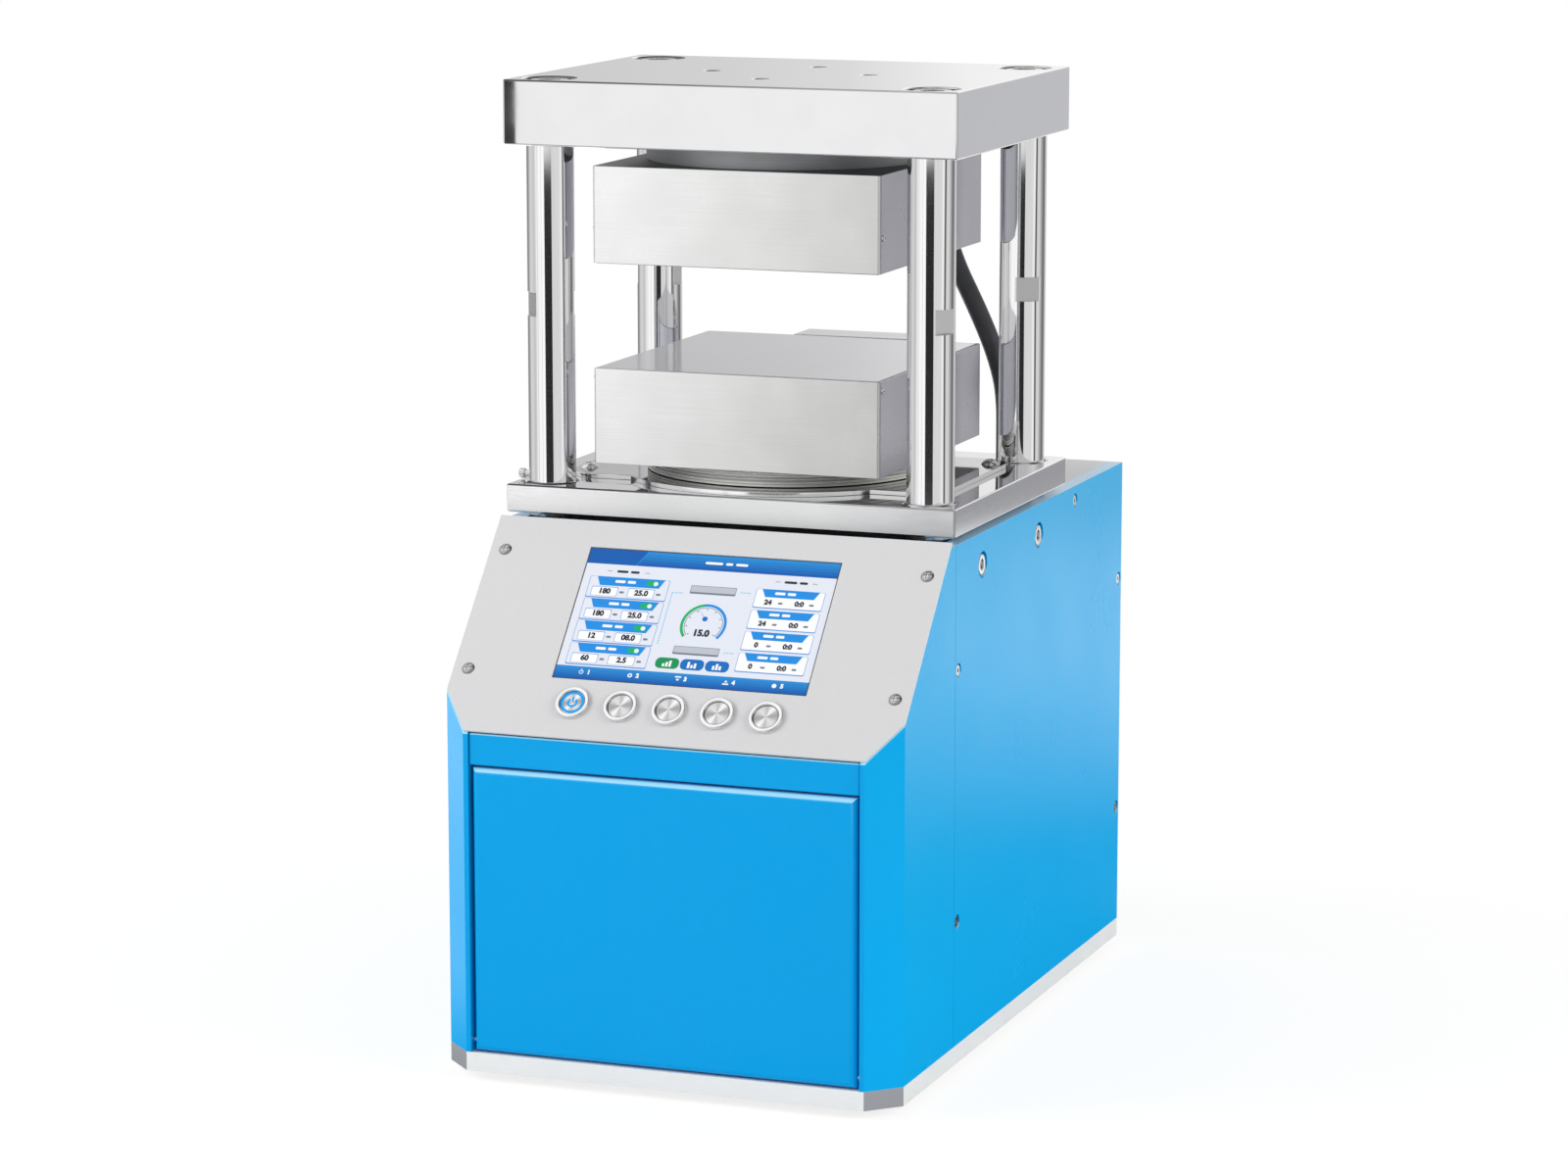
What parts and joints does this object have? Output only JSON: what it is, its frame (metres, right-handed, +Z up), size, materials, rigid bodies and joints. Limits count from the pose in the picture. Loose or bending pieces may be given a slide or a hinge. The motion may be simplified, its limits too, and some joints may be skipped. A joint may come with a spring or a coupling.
{
  "type": "laboratory hot press",
  "caption": "Bench-top hydraulic hot press for rubber moulds: heated platens between a top plate and a deck on tie columns, over a cabinet with a sloped touch panel and a front door.",
  "frame": {"origin": "on the bench, under the middle of the cabinet", "axes": "+Z up, -Y towards the operator, +X to the operator's right"},
  "size_m": [0.3, 0.47, 0.613],
  "materials": {
    "blue_paint": "fine textured powder coat",
    "panel_grey": "fine bead satin",
    "brushed_aluminium": "brushed",
    "rubber_black": "matt",
    "screw_steel": "bright",
    "polished_plate": "polished",
    "column_chrome": "hard chrome",
    "satin_steel": "satin",
    "hot_plate": "ground and polished",
    "machined_steel": "turned",
    "cast_block": "painted",
    "insulation_board": "calcium silicate",
    "screen_glass": "gloss",
    "black_plastic": "fine grain",
    "cable_black": "smooth",
    "device_grey": "moulded",
    "tank_blue": "gloss enamel",
    "pipe_steel": "drawn"
  },
  "bodies": {
    "root": {"bottom_plate": "brushed_aluminium", "rubber_feet": "rubber_black", "front_cheek_left": "blue_paint", "front_cheek_right": "blue_paint", "front_header": "blue_paint", "side_panel_left": "blue_paint", "side_panel_right": "blue_paint", "rear_panel": "blue_paint", "rear_top_cover": "panel_grey", "control_panel": "panel_grey", "panel_screws": "screw_steel", "touch_screen_glass": "screen_glass", "display_housing": "black_plastic", "button_bodies": "column_chrome", "side_bolts": "screw_steel", "side_screws": "screw_steel", "deck_plate": "polished_plate", "guide_plate": "polished_plate", "guide_plate_screws": "screw_steel", "cylinder_block": "cast_block", "cylinder_bolts": "screw_steel", "column_front_left": "column_chrome", "column_front_right": "column_chrome", "column_rear_left": "column_chrome", "column_rear_right": "column_chrome", "column_screws": "screw_steel", "column_washers": "screw_steel", "top_plate": "polished_plate", "upper_spacer": "machined_steel", "upper_spacer_screws": "screw_steel", "upper_heating_block": "hot_plate", "upper_insulation": "insulation_board", "upper_platen_cover": "satin_steel", "upper_heater_rods": "machined_steel", "upper_terminal_box": "satin_steel", "upper_heater_cable": "cable_black", "cable_glands": "black_plastic", "door_hinge_pins": "screw_steel", "oil_tank": "tank_blue", "pump_motor": "cast_block", "valve_block": "machined_steel", "oil_pipe": "pipe_steel", "controller": "device_grey", "power_supply": "satin_steel", "mains_inlet": "black_plastic", "fan_housing": "black_plastic"},
    "lower_platen": {"ram": "column_chrome", "lower_spacer": "machined_steel", "lower_heating_block": "hot_plate", "lower_insulation": "insulation_board", "lower_platen_cover": "satin_steel", "lower_heater_rods": "machined_steel", "lower_terminal_box": "satin_steel"},
    "front_door": {"front_door": "blue_paint"},
    "fan_rotor": {"fan_rotor": "black_plastic"},
    "power_button": {"power_button": "satin_steel"},
    "setting_button": {"setting_button": "satin_steel"},
    "upper_button": {"upper_button": "satin_steel"},
    "lower_button": {"lower_button": "satin_steel"},
    "press_button": {"press_button": "satin_steel"}
  },
  "joints": [
    {"name": "platen_lift", "type": "slide", "parent": "root", "child": "lower_platen", "axis": [0, 0, 1], "range_m": [0, 0.065]},
    {"name": "door_hinge", "type": "hinge", "parent": "root", "child": "front_door", "pos_m": [0, -0.229, 0.025], "axis": [1, 0, 0], "range_deg": [0, 90]},
    {"name": "fan_spin", "type": "hinge", "parent": "root", "child": "fan_rotor", "pos_m": [-0.075, 0.2105, 0.11], "axis": [0, 1, 0], "continuous": true},
    {"name": "power_push", "type": "slide", "parent": "root", "child": "power_button", "axis": [0, 0.742, -0.6704], "range_m": [0, 0.002], "stiffness_N_per_m": 1200, "springref_m": -0.0008},
    {"name": "setting_push", "type": "slide", "parent": "root", "child": "setting_button", "axis": [0, 0.742, -0.6704], "range_m": [0, 0.002], "stiffness_N_per_m": 1200, "springref_m": -0.0008},
    {"name": "upper_push", "type": "slide", "parent": "root", "child": "upper_button", "axis": [0, 0.742, -0.6704], "range_m": [0, 0.002], "stiffness_N_per_m": 1200, "springref_m": -0.0008},
    {"name": "lower_push", "type": "slide", "parent": "root", "child": "lower_button", "axis": [0, 0.742, -0.6704], "range_m": [0, 0.002], "stiffness_N_per_m": 1200, "springref_m": -0.0008},
    {"name": "press_push", "type": "slide", "parent": "root", "child": "press_button", "axis": [0, 0.742, -0.6704], "range_m": [0, 0.002], "stiffness_N_per_m": 1200, "springref_m": -0.0008}
  ]
}
